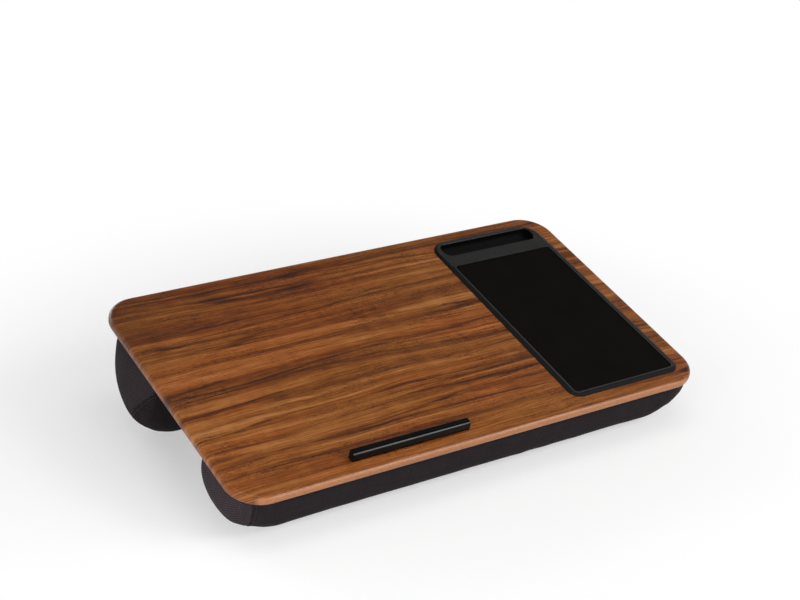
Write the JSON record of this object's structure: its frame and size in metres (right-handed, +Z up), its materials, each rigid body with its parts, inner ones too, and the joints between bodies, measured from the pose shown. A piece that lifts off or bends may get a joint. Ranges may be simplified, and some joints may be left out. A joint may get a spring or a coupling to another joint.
{
  "type": "lap desk",
  "caption": "Lap desk: a walnut-look board on two stuffed cloth bolsters, with a let-in mouse pad, a phone slot and a ledge that stops a laptop sliding.",
  "frame": {"origin": "on the surface that the desk stands on, under the middle of the tilted board's footprint", "axes": "+X along the board to the user's right, +Y away from the user, +Z up; the board rises towards +Y"},
  "size_m": [0.536, 0.2994, 0.1171],
  "materials": {
    "walnut": "satin walnut-look laminate with grain along the board's length",
    "core": "raw pressed fibre",
    "backing": "plain dark backing sheet",
    "insert_plastic": "finely textured moulded black plastic",
    "pad_cloth": "smooth close-knit black cloth",
    "pad_foam": "fine closed-cell foam rubber",
    "adhesive": "thin adhesive film",
    "ledge_plastic": "semi-gloss black plastic",
    "steel": "bright zinc-plated steel",
    "bolster_cloth": "charcoal plain-weave cloth",
    "fill": "white fibre stuffing"
  },
  "bodies": {
    "root": {"walnut_laminate": "walnut", "board_core": "core", "backing_laminate": "backing", "insert_tray": "insert_plastic", "insert_clips": "steel", "insert_screws": "steel", "pad_adhesive": "adhesive", "mouse_pad_foam": "pad_foam", "mouse_pad_cloth": "pad_cloth", "device_ledge": "ledge_plastic", "ledge_screws": "steel", "base_cloth": "bolster_cloth", "cloth_staples": "steel", "front_bolster_wrap": "bolster_cloth", "front_bolster_left_end": "bolster_cloth", "front_bolster_right_end": "bolster_cloth", "front_bolster_fill": "fill", "rear_bolster_wrap": "bolster_cloth", "rear_bolster_left_end": "bolster_cloth", "rear_bolster_right_end": "bolster_cloth", "rear_bolster_fill": "fill"}
  },
  "joints": []
}
